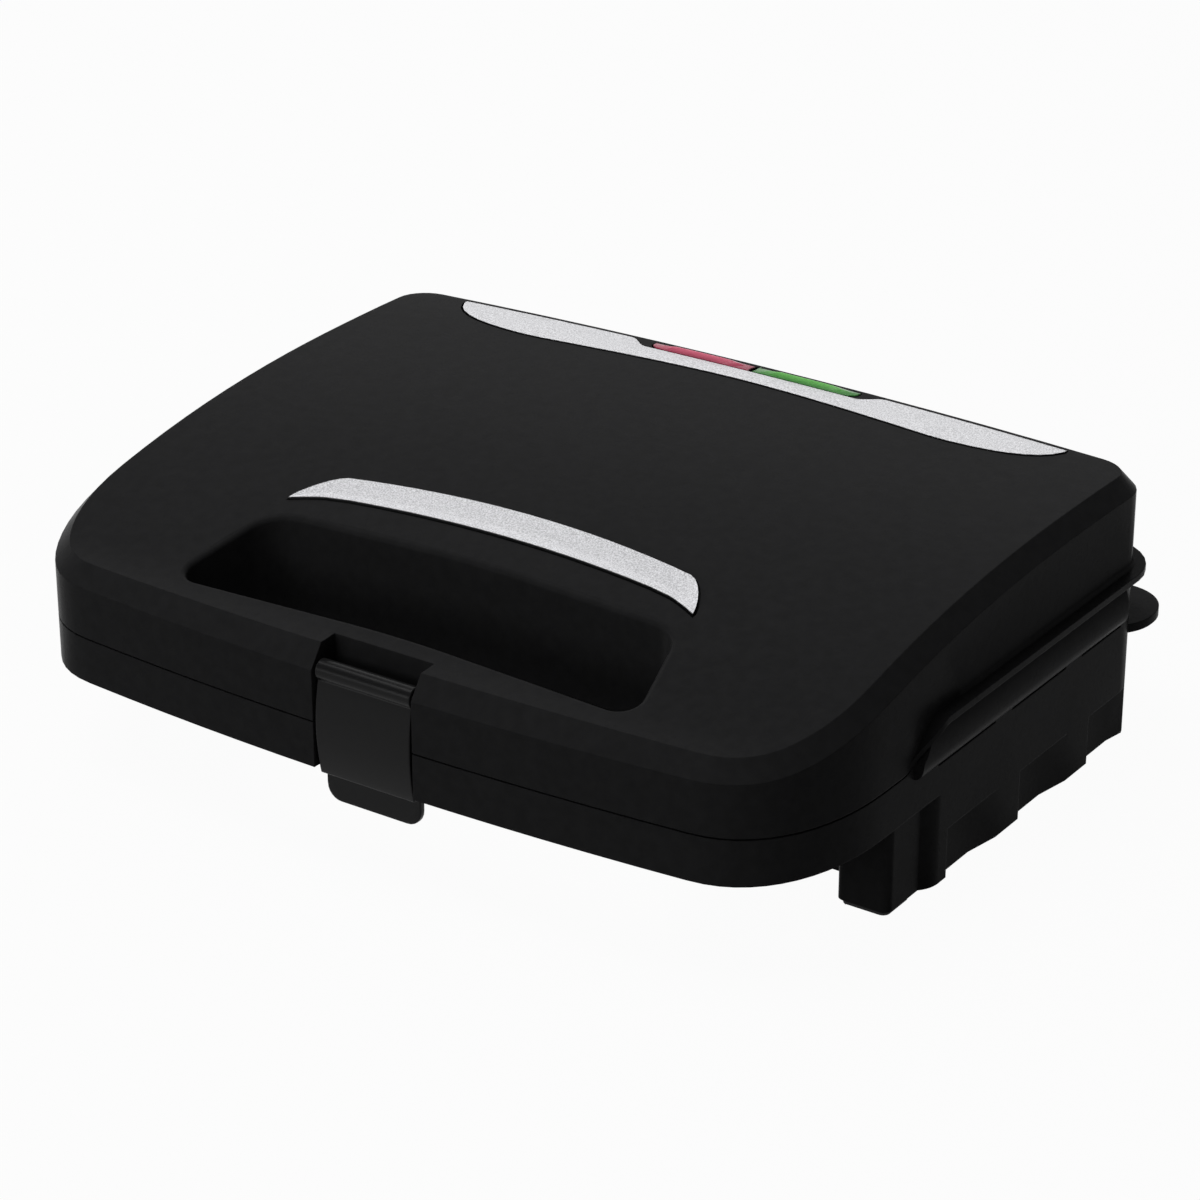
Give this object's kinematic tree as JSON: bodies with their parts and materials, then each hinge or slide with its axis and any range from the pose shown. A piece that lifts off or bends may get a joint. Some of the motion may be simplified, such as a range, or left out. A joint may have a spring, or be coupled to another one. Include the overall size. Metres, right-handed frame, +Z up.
{
  "type": "sandwich toaster",
  "caption": "Countertop sandwich toaster with a hinged lid, split bread pockets, a grip through both halves and a front latch clip.",
  "frame": {"origin": "on the table under the middle of the toaster's bounding box", "axes": "+X across the toaster, to the right when facing its latch; +Y from the latch to the hinge; +Z up"},
  "size_m": [0.265, 0.212, 0.084],
  "materials": {
    "housing": "black satin moulding",
    "cover": "black fine-grained moulding",
    "foot_rubber": "black rubber",
    "gland_rubber": "black rubber",
    "screw_steel": "zinc-plated steel",
    "pin_steel": "drawn steel",
    "plate_coating": "black non-stick coating on die-cast aluminium",
    "element_steel": "annealed tubular heater",
    "reflector": "bright aluminium sheet",
    "block_ceramic": "glazed ceramic",
    "trim_silver": "satin silver with a fine sparkle",
    "lens_red": "translucent red lens",
    "lens_green": "translucent green lens",
    "lamp_glass": "neon lamp glass",
    "holder_plastic": "white heat-resistant moulding",
    "clip_plastic": "black satin moulding"
  },
  "bodies": {
    "base": {"lower_housing": "housing", "bottom_cover": "cover", "front_feet": "foot_rubber", "rear_feet": "foot_rubber", "cover_screws": "screw_steel", "lower_plate": "plate_coating", "lower_element": "element_steel", "lower_reflector": "reflector", "lower_plate_screws": "screw_steel", "cord_gland": "gland_rubber", "terminal_block": "block_ceramic", "hinge_pins": "pin_steel"},
    "lid": {"upper_housing": "housing", "upper_plate": "plate_coating", "upper_element": "element_steel", "upper_reflector": "reflector", "upper_plate_screws": "screw_steel", "thermostat": "block_ceramic", "thermal_fuse": "block_ceramic", "grip_trim": "trim_silver", "rear_trim": "trim_silver", "red_lens": "lens_red", "green_lens": "lens_green", "red_lamp": "lamp_glass", "green_lamp": "lamp_glass", "lamp_holder": "holder_plastic", "latch_pin": "pin_steel"},
    "latch": {"latch_clip": "clip_plastic"}
  },
  "joints": [
    {"name": "lid_hinge", "type": "hinge", "parent": "base", "child": "lid", "pos_m": [0, 0.098, 0.046], "axis": [-1, 0, 0], "range_deg": [0, 100]},
    {"name": "latch_hinge", "type": "hinge", "parent": "lid", "child": "latch", "pos_m": [0, -0.1026, 0.0566], "axis": [-1, 0, 0], "range_deg": [0, 75]}
  ]
}
